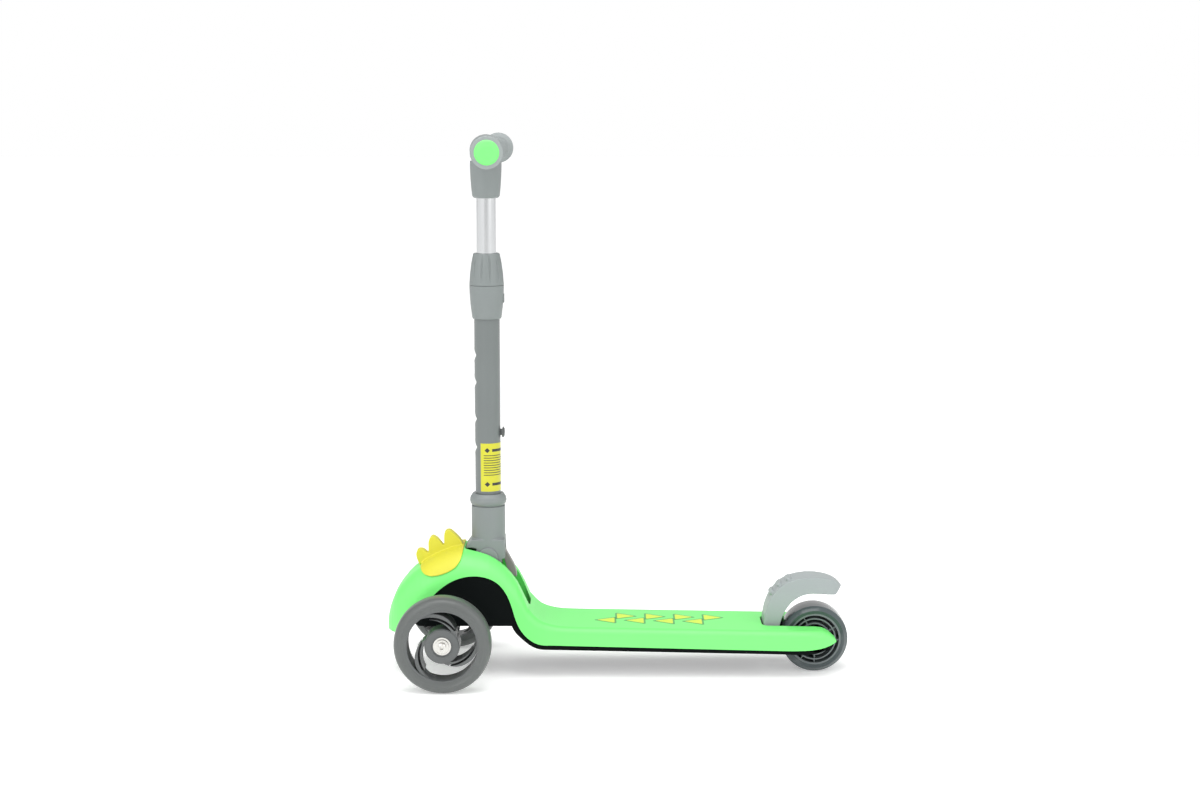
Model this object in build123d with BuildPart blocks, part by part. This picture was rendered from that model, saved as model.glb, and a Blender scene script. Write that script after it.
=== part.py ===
"""A child's folding three-wheeled scooter that steers by leaning.

Frame: +X is the way it rolls, +Y the rider's left, +Z up, in millimetres.
The origin is on the floor, under the middle of the whole scooter's box.
"""
from build123d import *
import math
import os

os.makedirs("parts", exist_ok=True)

# ---- driving sizes -------------------------------------------------------
SEAT = 0.05  # radial gap of a piece pressed or seated in its own body
RUN = 0.08  # radial gap of a shaft that turns in its bore
AIR = 0.5  # gap between moulded pieces that move past each other

FRONT_X = 215.0  # front axle
TRACK_HALF = 110.0  # middle of a front wheel from the centre plane
FRONT_R = 60.0
FRONT_W = 34.0
REAR_X = -249.0  # rear axle
REAR_R = 42.5
REAR_W = 44.0
AXLE_R = 4.0
BEARING_R = 11.0
BEARING_W = 7.0

DECK_HALF = 57.0  # half the footboard's width
TREAD_Z = 65.4  # height of the tread at its front end
TREAD_FRONT = 50.0
TREAD_REAR = -190.0
TREAD_DROP = 4.0  # the tread falls this much from its front end to its rear
SKIRT_Z = 43.6  # lower edge of the green shell at the front of the deck
NOSE_X = 291.25
TAIL_X = -273.0
RIDGE_Z = 162.0  # top of the hood
WALL = 3.0
SLOT_HALF = 25.5  # half the opening for the rear wheel
CHANNEL_HALF = 25.0  # half the channel that the column folds into

STEM_X = 164.0
PIVOT_Z = 146.5  # fold hinge
LOWER_R = 16.0
LOWER_TUBE_WALL = 1.6
LOWER_TOP = 488.0
UPPER_R = 12.25
UPPER_TUBE_WALL = 1.5
SOCKET_TOP = 212.0
COLUMN_R = 21.25
COLLAR_BOTTOM = 448.5
COLLAR_SPLIT = 490.0
COLLAR_TOP = 530.0
COLLAR_R = 21.5
BAR_Z = 657.0
BAR_R = 9.5
SWEEP_BACK = 3.5  # degrees
GRIP_END = 145.0  # outer face of a grip's flange from the centre plane
FLANGE_R = 19.5
HEIGHT_TRAVEL = 120.0
BUTTON_Z = 305.0
LEAN_ANGLE = 45.0  # tilt of the steering pin


def save(part, name):
    """Label a finished piece and write its STEP file."""
    part.label = name
    export_step(part, f"parts/{name}.step")


def tread_height(x):
    """Height of the tread plane at x."""
    slope = TREAD_DROP / (TREAD_FRONT - TREAD_REAR)
    return TREAD_Z + slope * (x - TREAD_FRONT)


# ---- footboard shell and the black base under it ---------------------------
# Rise of the hood's ridge over the tread, as a share, at distances ahead of the fold hinge.
RIDGE = [(-114, 0.0), (-92, 0.012), (-70, 0.065), (-52, 0.23), (-39, 0.53), (-18, 0.79), (4, 0.92),
         (30, 0.975), (61, 0.88), (93.5, 0.67), (115.6, 0.4), (124.5, 0.17), (127.25, 0.03)]


def smooth_between(points, x):
    """Height at x of a smooth curve through the points, with no overshoot."""
    if x <= points[0][0]:
        return points[0][1]
    if x >= points[-1][0]:
        return points[-1][1]
    slopes = [(b[1] - a[1]) / (b[0] - a[0]) for a, b in zip(points, points[1:])]
    ends = [slopes[0]]
    for a, b in zip(slopes, slopes[1:]):
        ends.append(0.0 if a * b <= 0 else 2 * a * b / (a + b))
    ends.append(slopes[-1])
    i = max(k for k in range(len(points) - 1) if points[k][0] <= x)
    (x0, y0), (x1, y1) = points[i], points[i + 1]
    step = x1 - x0
    t = (x - x0) / step
    return (y0 * (1 + 2 * t) * (1 - t) ** 2 + y1 * t * t * (3 - 2 * t)
            + step * (ends[i] * t * (1 - t) ** 2 - ends[i + 1] * t * t * (1 - t)))


def board_top(x):
    """Height of the shell's centre line."""
    share = smooth_between(RIDGE, x - STEM_X)
    drop = 12.0 * max(0.0, (TAIL_X + 22 - x) / 22) ** 2
    return tread_height(min(x, TREAD_FRONT)) + share * (RIDGE_Z - TREAD_Z) - drop


def board_half(x):
    """Half the shell's width: straight sides, an oval nose and drawn-in rear arms."""
    nose = NOSE_X - DECK_HALF
    if x > nose:
        return DECK_HALF * math.sqrt(max(0.0,
                                         1 - ((x - nose) / DECK_HALF) ** 2.2)) * 0.85 + 0.15 * DECK_HALF
    if x < TAIL_X + 40:
        return DECK_HALF - 9.0 * ((TAIL_X + 40 - x) / 40) ** 2
    return DECK_HALF


def board_corner(x):
    """Radius between the shell's top and its sides."""
    hood = smooth_between([(-114, 9.0), (-60, 12.0), (-30, 24.0), (20, 33.0), (127, 33.0)], x - STEM_X)
    return min(hood, board_half(x) * 0.62, board_top(x) - SKIRT_Z - 3)


def board_block(inset):
    """The shell's outside as a solid, or its inside when inset by the wall."""
    deck = [TAIL_X + inset + k * 8 for k in range(6)] + [TREAD_REAR, TREAD_FRONT]
    hood = [TREAD_FRONT + k * (NOSE_X - 18 - TREAD_FRONT) / 32 for k in range(1, 33)]
    nose = [NOSE_X - inset - d for d in (14.0, 10.0, 6.5, 3.5, 1.2, 0.0)]
    with BuildPart() as block:
        for x in deck + hood + nose:
            half = board_half(x) - inset
            top = board_top(x) - inset
            corner = max(board_corner(x) - inset, 1.0)
            with BuildSketch(Plane.YZ.offset(x)):
                with BuildLine():
                    Line((-half, 10), (half, 10))
                    Line((half, 10), (half, top - corner))
                    RadiusArc((half, top - corner), (half - corner, top), -corner)
                    Line((half - corner, top), (corner - half, top))
                    RadiusArc((corner - half, top), (-half, top - corner), -corner)
                    Line((-half, top - corner), (-half, 10))
                make_face()
        loft(ruled=True)
    return block.part


def skirt_line(drop):
    """Lower edge of the shell's side, or the base's edge when dropped below it."""
    heel = (86, SKIRT_Z + 0.4 - drop)
    rear = (-205, SKIRT_Z - 6.8 - drop)
    arch = Spline(
        heel,
        (112 + drop, 52 - drop * 0.9),
        (124.5 + drop * 0.7, 68 - drop * 0.3),
        (133.5 + drop * 0.3, 95),
        (150, 122.5),
        (179, 132),
        (208, 125),
        (232, 106),
        (252, 82),
        (266, 64),
        (NOSE_X + 12, 61),
    )
    floor = Line(heel, rear)
    tail = Spline(rear, (-238, SKIRT_Z - 6.4 - drop), (TAIL_X - 4, SKIRT_Z + 6 - drop), tangents=[(-1,
                                                                                                   -0.02),
                                                                                                  (-0.7,
                                                                                                   0.7)])
    Polyline(tail @ 1, (TAIL_X - 12, SKIRT_Z + 6), (TAIL_X - 12, -40), (NOSE_X + 12, -40), arch @ 1)


with BuildPart() as deck_shell:
    add(board_block(0))
    add(board_block(WALL), mode=Mode.SUBTRACT)
    # the skirt's lower edge, with the wheel arch
    with BuildSketch(Plane.XZ):
        with BuildLine():
            skirt_line(0)
        make_face()
    extrude(amount=2 * DECK_HALF, both=True, mode=Mode.SUBTRACT)
    # opening for the rear wheel and the brake's foot
    with BuildSketch(Plane.XY):
        with Locations((TREAD_REAR + 8 - 60, 0)):
            RectangleRounded(120, 2 * SLOT_HALF, 9)
        with Locations((TREAD_REAR - 90, 0)):
            Rectangle(120, 2 * SLOT_HALF)
    extrude(amount=RIDGE_Z, mode=Mode.SUBTRACT)
    # inner walls of the two rear arms
    for side in (1, -1):
        with BuildSketch(Plane.XZ.offset(-side * (SLOT_HALF + 1.5))):
            with BuildLine():
                Polyline((TREAD_REAR - 6, 50), (TREAD_REAR - 6, 59.4), (TAIL_X + 12, 58), (TAIL_X + 8, 50),
                         close=True)
            make_face()
        extrude(amount=1.5, both=True)
    # channel in the neck and hood for the folded column, with its side walls
    with BuildSketch(Plane.XY.offset(TREAD_Z + 4)):
        with Locations(((STEM_X + 29 + 111) / 2, 0)):
            RectangleRounded(STEM_X + 29 - 111, 2 * CHANNEL_HALF, 12)
    extrude(amount=RIDGE_Z, mode=Mode.SUBTRACT)
save(deck_shell.part, "deck_shell")

# ---- black base: tray under the deck, housing in the arch, fork at the rear ----
BASE_LIP = 6.0  # the base shows this much below the shell
HOUSING_Z = 68.0
BASE_WALL = 3.0

BASE_IN = WALL + 0.2


def base_line(drop, front_z):
    """Lower edge of the base: deck floor, S-bend and the housing's floor."""
    heel = (93, SKIRT_Z - BASE_LIP + drop)
    bend = Spline(heel, (120 + drop * 0.7, 51 + drop * 0.9), (133 + drop, front_z), tangents=[(1, 0.05),
                                                                                              (0.35, 1)])
    Line(heel, (-205, SKIRT_Z - 12 + drop))
    Polyline(bend @ 1, (250, front_z), (268 - drop, front_z + 14), (268 - drop, RIDGE_Z + 20),
             (TAIL_X - 12, RIDGE_Z + 20), (TAIL_X - 12, SKIRT_Z + 6 + drop))
    Spline((-205, SKIRT_Z - 12 + drop), (-245, SKIRT_Z - 12 + drop), (TAIL_X - 12, SKIRT_Z + 6 + drop),
           tangents=[(-1, 0), (-0.8, 0.6)])


with BuildPart() as deck_base:
    add(board_block(BASE_IN))
    with BuildSketch(Plane.XZ):
        with BuildLine():
            base_line(0, HOUSING_Z)
        make_face()
    extrude(amount=2 * DECK_HALF, both=True, mode=Mode.INTERSECT)
    # hollow, open at the top under the shell
    with BuildSketch(Plane.XZ):
        with BuildLine():
            base_line(BASE_WALL, HOUSING_Z + BASE_WALL)
        make_face()
        with Locations((TREAD_REAR - 100 + 4, 60)):
            Rectangle(200, 300, mode=Mode.SUBTRACT)
    extrude(amount=DECK_HALF - BASE_IN - BASE_WALL, both=True, mode=Mode.SUBTRACT)
    # slot for the rear wheel between the fork's cheeks
    with BuildSketch(Plane.XY):
        with Locations((TREAD_REAR - 90, 0)):
            Rectangle(180 + 2 * 8, 2 * (SLOT_HALF - 1))
    extrude(amount=RIDGE_Z, mode=Mode.SUBTRACT)
    # room for the arms' inner walls
    for side in (1, -1):
        with Locations((TREAD_REAR - 44, side * (SLOT_HALF + 1.5), 56)):
            Box(100, 3.6, 30, mode=Mode.SUBTRACT)
    # ribs across the tray
    for x in (-150, -90, -30, 30):
        with Locations((x, 0, 46)):
            Box(2.4, 2 * (DECK_HALF - BASE_IN) - 2, 20)
    # clear the channel
    with BuildSketch(Plane.XY.offset(TREAD_Z + 8)):
        with Locations(((STEM_X + 29 + 111) / 2, 0)):
            Rectangle(STEM_X + 29 - 111, 2 * CHANNEL_HALF)
    extrude(amount=RIDGE_Z, mode=Mode.SUBTRACT)


# ---- small round parts -------------------------------------------------------
def turned(plane, points):
    """A turned piece: points are (distance along the plane's normal, radius)."""
    with BuildPart() as piece:
        with BuildSketch(Plane(plane.origin, x_dir=plane.z_dir, z_dir=-plane.x_dir)):
            with BuildLine():
                Polyline(*points, close=True)
            make_face()
        revolve(axis=Axis(plane.origin, plane.z_dir))
    return piece.part


def rod(plane, low, high, radius, bore=0.0):
    """A plain round bar or tube from low to high along the plane's normal."""
    return turned(plane, [(low, bore), (high, bore), (high, radius), (low, radius)])


def coil(plane, radius, wire, turns, length=0.0):
    """A spring with its middle at the plane's origin, close-wound unless a length is given."""
    length = length or 2.3 * wire * turns
    with BuildPart() as spring:
        with BuildLine() as path:
            Helix(pitch=length / turns, height=length, radius=radius,
                  center=plane.origin - plane.z_dir * (length / 2),
                  direction=plane.z_dir)
        with BuildSketch(Plane(path.line @ 0, z_dir=path.line % 0)):
            Circle(wire)
        sweep(path=path.line, is_frenet=True)
    return spring.part


def across(x, z):
    """A plane facing the rider's left, centred at x, z."""
    return Plane((x, 0, z), x_dir=(-1, 0, 0), z_dir=(0, 1, 0))


# ---- yellow crest on the nose ------------------------------------------------
CREST_HALF = 7.0
SADDLE_T = 2.2
with BuildPart() as saddle:
    add(board_block(-SADDLE_T))
    with BuildSketch(Plane.XZ):
        with BuildLine():
            edge = Spline((193.5, 166), (195, 156), (199, 147), (206.5, 140), (218, 134.5), (232, 131.5), (244, 134),
                          (250, 141), (252, 152))
            Polyline(edge @ 1, (252, RIDGE_Z + 20), (193.5, RIDGE_Z + 20), edge @ 0)
        make_face()
    extrude(amount=DECK_HALF * 2, both=True, mode=Mode.INTERSECT)

with BuildPart() as spike_crest:
    with BuildSketch(Plane.XZ):
        with BuildLine():
            back = Spline((193.5, 150), (196, 162), (200.5, 169.5), (207, 176), (213, 180.2), (217.5,
                                                                                               179.5), (220,
                                                                                                        173), (220.5, 160))
            middle = Spline(back @ 1, (225, 165.5), (230, 170.5), (235, 172.3), (238.5, 169), (240, 161),
                            (240.5, 150))
            front = Spline(middle @ 1, (244, 153.5), (249, 155.8), (253.5, 154.8), (255.5, 150), (254, 142),
                           (251, 124))
            Polyline(front @ 1, (225, 118), back @ 0)
        make_face()
    extrude(amount=CREST_HALF, both=True)
    add(saddle.part)
    add(board_block(0), mode=Mode.SUBTRACT)
save(spike_crest.part, "spike_crest")

# ---- fold bracket, its bolts and pins ----------------------------------------
PLATE_IN = 10.0  # inner face of a bracket plate from the centre plane
PLATE_T = 3.0
PLATE_R = 17.0
PIN_R = 4.0
BASE_PLATE_Z = HOUSING_Z + BASE_WALL
BRACKET_BOLTS = [(STEM_X - 26, 0), (STEM_X + 26, 0)]
CATCH_R = 3.0
CATCH_ARC = 9.5  # from the fold hinge to the middle of the catch bar
CATCH_ANGLE = math.radians(250)
CATCH_X = STEM_X + CATCH_ARC * math.cos(CATCH_ANGLE)
CATCH_Z = PIVOT_Z + CATCH_ARC * math.sin(CATCH_ANGLE)

with BuildPart() as fold_bracket:
    with BuildSketch(Plane.XZ):
        with BuildLine():
            bottom = Line((STEM_X + PLATE_R + 8, BASE_PLATE_Z), (STEM_X - PLATE_R - 2, BASE_PLATE_Z))
            Line(bottom @ 1, (STEM_X - PLATE_R, PIVOT_Z))
            crown = ThreePointArc((STEM_X - PLATE_R, PIVOT_Z), (STEM_X, PIVOT_Z + PLATE_R),
                                  (STEM_X + PLATE_R, PIVOT_Z))
            Line(crown @ 1, bottom @ 0)
        make_face()
    extrude(amount=PLATE_IN + PLATE_T, both=True)
    with Locations((STEM_X, 0, PIVOT_Z)):
        Box(120, 2 * PLATE_IN, 2 * (PIVOT_Z - BASE_PLATE_Z - PLATE_T), mode=Mode.SUBTRACT)
    with Locations((STEM_X, 0, BASE_PLATE_Z + PLATE_T / 2)):
        Box(72, 2 * (PLATE_IN + PLATE_T), PLATE_T)
    for x, z, r in ((STEM_X, PIVOT_Z, PIN_R), (CATCH_X, CATCH_Z, CATCH_R)):
        add(rod(across(x, z), -30, 30, r + SEAT), mode=Mode.SUBTRACT)
    for x, y in BRACKET_BOLTS:
        add(rod(Plane((x, y, BASE_PLATE_Z)), -5, 10, 3 + SEAT), mode=Mode.SUBTRACT)
save(fold_bracket.part, "fold_bracket")

with BuildPart() as bracket_bolts:
    for x, y in BRACKET_BOLTS:
        top = BASE_PLATE_Z + PLATE_T
        add(turned(Plane((x, y, 0)), [(HOUSING_Z - 3, 0), (top + 5, 0), (top + 5, 3.5), (top + 3.5, 5.5),
                                      (top + 0.02, 5.5),
                                      (top + 0.02, 3), (HOUSING_Z - 3, 3)]))
save(bracket_bolts.part, "bracket_bolts")

with BuildPart() as catch_bar:
    add(rod(across(CATCH_X, CATCH_Z), -PLATE_IN - PLATE_T, PLATE_IN + PLATE_T, CATCH_R))
save(catch_bar.part, "catch_bar")

with BuildPart() as fold_pin:
    add(rod(across(STEM_X, PIVOT_Z), -19, 19, PIN_R))
save(fold_pin.part, "fold_pin")

# ---- steering beam on its tilted pin ------------------------------------------
BEAM_X = 222.0
BEAM_Z = 50.0
BEAM_R = 14.0
lean = math.radians(LEAN_ANGLE)
pin_plane = Plane((BEAM_X, 0, BEAM_Z), x_dir=(0, 1, 0), z_dir=(math.cos(lean), 0, math.sin(lean)))
BUSH_T = 5.0
PIN_BOLT_R = 5.0
AXLE_BOSS_R = 10.0
WHEEL_IN = TRACK_HALF - FRONT_W / 2 + 2  # inner end of a wheel's hub

with BuildPart() as based:
    add(deck_base.part)
    # room for the beam's hub to swing, then the pedestal that the pin stands in
    add(rod(pin_plane, -60, BEAM_R + BUSH_T, 21), mode=Mode.SUBTRACT)
    add(rod(pin_plane, BEAM_R + BUSH_T, 46, 15))
    add(rod(pin_plane, 46, 60, 10.5), mode=Mode.SUBTRACT)
    add(rod(pin_plane, 0, 60, PIN_BOLT_R + SEAT), mode=Mode.SUBTRACT)
    for x, y in BRACKET_BOLTS:
        add(rod(Plane((x, y, HOUSING_Z)), -5, 10, 3 + SEAT), mode=Mode.SUBTRACT)
    # axle and brake pin holes through the fork
    add(rod(across(REAR_X, REAR_R), -DECK_HALF, DECK_HALF, AXLE_R + SEAT), mode=Mode.SUBTRACT)
deck_base = based

with BuildPart() as steering_beam:
    for side in (1, -1):
        for low, high, hx, hz, zc in ((0, 62, 15, 6.5, 49), (60, 90, 15, 11, 52)):
            with Locations((BEAM_X - 3, side * (low + high) / 2, zc)):
                Box(2 * hx, high - low, 2 * hz)
        wheel_end = Plane((FRONT_X, side * 86, FRONT_R), x_dir=(-1, 0, 0), z_dir=(0, side, 0))
        add(rod(wheel_end, -14, WHEEL_IN - 86 - 0.6, AXLE_BOSS_R))
    add(rod(pin_plane, -BEAM_R, BEAM_R, 15))
    add(rod(pin_plane, BEAM_R, 60, 20), mode=Mode.SUBTRACT)
    add(rod(pin_plane, -60, -BEAM_R, 11), mode=Mode.SUBTRACT)
    add(rod(pin_plane, -30, 30, PIN_BOLT_R + RUN), mode=Mode.SUBTRACT)
    for side in (1, -1):
        wheel_end = Plane((FRONT_X, side * 86, FRONT_R), x_dir=(-1, 0, 0), z_dir=(0, side, 0))
        add(rod(wheel_end, -22, 30, AXLE_R + SEAT), mode=Mode.SUBTRACT)
save(steering_beam.part, "steering_beam")

with BuildPart() as steering_bushing:
    add(rod(pin_plane, BEAM_R + 0.3, BEAM_R + BUSH_T - 0.02, 13, PIN_BOLT_R + SEAT))
save(steering_bushing.part, "steering_bushing")

with BuildPart() as steering_bolt:
    add(turned(pin_plane, [(-BEAM_R - 7, 0), (52, 0), (52, PIN_BOLT_R), (-BEAM_R - 0.4, PIN_BOLT_R),
                           (-BEAM_R - 0.4, 9), (-BEAM_R - 5.5, 9), (-BEAM_R - 7, 7)]))
save(steering_bolt.part, "steering_bolt")

with BuildPart() as steering_nut:
    with BuildSketch(pin_plane.offset(46.02)):
        RegularPolygon(8.5, 6)
        Circle(PIN_BOLT_R + SEAT, mode=Mode.SUBTRACT)
    extrude(amount=6)
save(steering_nut.part, "steering_nut")


# ---- wheels ---------------------------------------------------------------------
RIM_R = 45.5
BORE_R = BEARING_R + SEAT


def polar(radius, angle):
    """A point of the wheel's face, angle in degrees from its right-hand side."""
    return (radius * math.cos(math.radians(angle)), radius * math.sin(math.radians(angle)))


def blade(r0, a0, middle, r1, a1):
    """Curved edge of a spoke, spiralling out from the hub through its middle radius."""
    return ThreePointArc(polar(r0, a0), polar(middle, (a0 + a1) / 2), polar(r1, a1))


def front_wheel(side, word):
    """Tyre, spoked rim, two bearings, spacer and axle bolt of one front wheel."""
    face = Plane((FRONT_X, side * TRACK_HALF, FRONT_R), x_dir=(-side, 0, 0), z_dir=(0, side, 0))
    section = Plane(face.origin, x_dir=face.z_dir, z_dir=-face.x_dir)
    half = FRONT_W / 2
    with BuildPart() as tyre:
        with BuildSketch(section):
            with BuildLine():
                Polyline((half, FRONT_R - 9), (half - 1.2, FRONT_R - 11.5), (half - 2, RIM_R + SEAT),
                         (2 - half, RIM_R + SEAT), (1.2 - half, FRONT_R - 11.5), (-half, FRONT_R - 9))
                Spline((-half, FRONT_R - 9), (-half * 0.86, FRONT_R - 3.4), (0, FRONT_R), (half * 0.86,
                                                                                           FRONT_R - 3.4),
                       (half, FRONT_R - 9))
            make_face()
        revolve(axis=Axis(face.origin, face.z_dir))
    save(tyre.part, f"front_tyre_{word}")
    hub_half = half - 2
    with BuildPart() as rim:
        # three pairs of spiral spokes, each pair with a pocket either side of a thin web
        for reach, pocketed in ((half - 4, True), (1.2, False)):
            with BuildSketch(face):
                Circle(21.5)
                for k in range(3):
                    turn = 45 + 120 * k
                    with BuildLine():
                        inner = blade(19, turn - 5, 29.8, RIM_R - 1.2, turn + 99)
                        outer = blade(20.5, turn - 14, 34.6, RIM_R - 1.2, turn + 79)
                        ThreePointArc(inner @ 1, polar(RIM_R - 1.2, turn + 89), outer @ 1)
                        Line(inner @ 0, outer @ 0)
                    make_face()
                    if pocketed:
                        with BuildLine():
                            inner = blade(24.2, turn + 8, 31.8, RIM_R - 3, turn + 93)
                            outer = blade(25.8, turn + 3, 33.2, RIM_R - 3, turn + 82)
                            ThreePointArc(inner @ 1, polar(RIM_R - 3, turn + 87.5), outer @ 1)
                            Line(inner @ 0, outer @ 0)
                        make_face(mode=Mode.SUBTRACT)
            extrude(amount=reach, both=True)
        add(rod(face, 2 - half, half - 2, RIM_R, RIM_R - 2.4))
        add(rod(face, -hub_half, hub_half - 1, 20.5))
        add(rod(face, -hub_half - 1, hub_half, 8), mode=Mode.SUBTRACT)
        for end in (1, -1):
            low, high = sorted((end * (hub_half - 1 - BEARING_W - 1.5), end * (hub_half + 2)))
            add(rod(face, low, high, BORE_R), mode=Mode.SUBTRACT)
            low, high = sorted((end * (hub_half - 2.2), end * (hub_half + 2)))
            add(rod(face, low, high, 13), mode=Mode.SUBTRACT)
    save(rim.part, f"front_rim_{word}")
    seat = hub_half - 1 - BEARING_W - 1.5
    with BuildPart() as bearings:
        for end in (1, -1):
            low, high = sorted((end * seat, end * (seat + BEARING_W)))
            add(turned(face, [(low, AXLE_R), (low, 5.6), (low + 0.5, 5.6), (low + 0.5, 9.3), (low, 9.3),
                              (low, BEARING_R),
                              (high, BEARING_R), (high, 9.3), (high - 0.5, 9.3), (high - 0.5, 5.6), (high,
                                                                                                     5.6),
                              (high, AXLE_R)]))
    save(bearings.part, f"front_bearings_{word}")
    with BuildPart() as spacer:
        add(rod(face, -seat + 0.05, seat - 0.05, 6, AXLE_R + RUN))
    save(spacer.part, f"front_spacer_{word}")
    out = seat + BEARING_W + 0.2
    with BuildPart() as bolt:
        add(turned(face, [(-42, 0), (out + 5.5, 0), (out + 5.5, 3.5), (out + 4.6, 5), (out + 1.5, 5),
                          (out + 1.5, 8.3), (out, 8.3),
                          (out, AXLE_R - RUN), (-42, AXLE_R - RUN)]))
        with BuildSketch(face.offset(out + 3)):
            RegularPolygon(2.9, 6)
        extrude(amount=5, mode=Mode.SUBTRACT)
    save(bolt.part, f"front_axle_bolt_{word}")


front_wheel(1, "left")
front_wheel(-1, "right")

# rear wheel
rear = across(REAR_X, REAR_R)
rear_section = Plane(rear.origin, x_dir=rear.z_dir, z_dir=-rear.x_dir)
REAR_RIM_R = 33.0
half = REAR_W / 2
with BuildPart() as rear_tyre:
    with BuildSketch(rear_section):
        with BuildLine():
            Polyline((half - 6, REAR_R - 0.6), (half, REAR_R - 5.5), (half - 1.5, REAR_RIM_R + SEAT),
                     (1.5 - half, REAR_RIM_R + SEAT), (-half, REAR_R - 5.5), (6 - half, REAR_R - 0.6))
            ThreePointArc((6 - half, REAR_R - 0.6), (0, REAR_R), (half - 6, REAR_R - 0.6))
        make_face()
    revolve(axis=Axis(rear.origin, rear.z_dir))
save(rear_tyre.part, "rear_tyre")
with BuildPart() as rear_rim:
    rim_half = half - 2
    for r_out, r_in, w in ((REAR_RIM_R, REAR_RIM_R - 2.4, rim_half), (26.8, 25.2, rim_half - 1), (20.8,
                                                                                                  19.2,
                                                                                                  rim_half - 1.5),
                           (14.5, BORE_R, rim_half - 2)):
        add(rod(rear, -w, w, r_out, r_in))
    add(rod(rear, -2, 2, REAR_RIM_R - 1, 13))
    for k in range(3):
        for lean_deg in (117, 150):
            with BuildSketch(rear.offset(-rim_half + 3)):
                with Locations(Rotation(0, 0, lean_deg + 120 * k) * Location((23, 0))):
                    Rectangle(18.5, 1.6)
            extrude(amount=2 * (rim_half - 3))
    add(rod(rear, -half + 11, half - 11, 13.5, 8))
save(rear_rim.part, "rear_rim")
rear_seat = half - 11 + 0.05
with BuildPart() as rear_bearings:
    for end in (1, -1):
        low, high = sorted((end * rear_seat, end * (rear_seat + BEARING_W)))
        add(rod(rear, low, high, BEARING_R, AXLE_R))
save(rear_bearings.part, "rear_bearings")
with BuildPart() as rear_spacer:
    add(rod(rear, 0.05 - rear_seat, rear_seat - 0.05, 6, AXLE_R + RUN))
save(rear_spacer.part, "rear_spacer")
with BuildPart() as rear_axle:
    add(turned(rear, [(-45, 0), (46, 0), (46, 6), (41, 6.5), (41, AXLE_R - RUN), (-45, AXLE_R - RUN)]))
save(rear_axle.part, "rear_axle")
with BuildPart() as rear_axle_nut:
    with BuildSketch(rear.offset(-44)):
        RegularPolygon(7.5, 6)
        Circle(AXLE_R, mode=Mode.SUBTRACT)
    extrude(amount=5)
save(rear_axle_nut.part, "rear_axle_nut")
with BuildPart() as axle_sleeves:
    for low, high in ((half - 11 + BEARING_W + 0.15, SLOT_HALF - 1.05), (-SLOT_HALF + 1.05,
                                                                         11 - half - BEARING_W - 0.15)):
        add(rod(rear, low, high, 6.2, AXLE_R + SEAT))
save(axle_sleeves.part, "axle_sleeves")

# ---- brake fender -------------------------------------------------------------
BRAKE_X = -192.5
BRAKE_Z = 49.0
BRAKE_PIN_R = 2.5
FENDER_HALF = 20.0
FENDER_WALL = 3.0
brake = across(BRAKE_X, BRAKE_Z)


def fender_outline(inset):
    """Side outline of the fender, or of its hollow when inset."""
    top = Spline(
        (-184 - inset, 52),
        (-185.5 - inset, 72),
        (-193 - inset * 0.9, 95 - inset * 0.5),
        (-209 - inset * 0.6, 113 - inset * 0.8),
        (-232, 121 - inset),
        (-258, 121 - inset),
        (-276 + inset * 0.3, 115.5 - inset),
        (-283.5 + inset, 108.5),
    )
    under = Spline((-276 + inset, 98 + inset * 0.2), (-258, 100 - inset), (-238, 100 - inset), (-220,
                                                                                                90.5 - inset),
                   (-209, 74 - inset), (-203.5 - inset * 0.2, 54 - inset * 0.2))
    Line(top @ 1, under @ 0)
    Line(under @ 1, top @ 0)


def fender_block(inset):
    """The fender's outside as a solid, or its hollow when inset."""
    half_width = FENDER_HALF - (FENDER_WALL if inset else 0)
    with BuildPart() as block:
        with BuildSketch(Plane.XZ):
            with BuildLine():
                fender_outline(inset)
            make_face()
        extrude(amount=FENDER_HALF, both=True)
        with BuildSketch(Plane.XY):
            with Locations((-211, 0)):
                Rectangle(60, 2 * half_width)
            with Locations((-241, 0)):
                Ellipse(42.8 - inset, half_width)
        extrude(amount=200, mode=Mode.INTERSECT)
    return block.part


with BuildPart() as brake_fender:
    add(fender_block(0))
    # three cross ribs
    for x, z, tilt in ((-195.0, 100.5, 56), (-204.5, 110.2, 42), (-216.0, 117.2, 26)):
        up = (math.sin(math.radians(tilt)), 0, math.cos(math.radians(tilt)))
        with BuildSketch(Plane((x, 0, z), x_dir=(0, 1, 0), z_dir=up)):
            SlotOverall(24, 7)
        extrude(amount=2.4, both=True)
    add(fender_block(FENDER_WALL + 1), mode=Mode.SUBTRACT)
    # barrel for the pin, split for the return spring
    add(rod(brake, -FENDER_HALF, FENDER_HALF, 6.5))
    with Locations((BRAKE_X + 3, 0, BRAKE_Z)):
        Box(24, 16, 16, mode=Mode.SUBTRACT)
    add(rod(brake, -30, 30, BRAKE_PIN_R + RUN), mode=Mode.SUBTRACT)
save(brake_fender.part, "brake_fender")
with BuildPart() as brake_pin:
    add(rod(brake, -30, 30, BRAKE_PIN_R))
save(brake_pin.part, "brake_pin")
with BuildPart() as brake_spring:
    add(coil(brake, 4.2, 0.8, 6))
save(brake_spring.part, "brake_spring")

with BuildPart() as drilled:
    add(deck_base.part)
    add(rod(brake, -30.5, 30.5, BRAKE_PIN_R + SEAT), mode=Mode.SUBTRACT)
    for end in (1, -1):
        low, high = sorted((end * (SLOT_HALF + 11), end * DECK_HALF))
        add(rod(rear, low, high, 9), mode=Mode.SUBTRACT)
deck_base = drilled
save(deck_base.part, "deck_base")

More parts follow.
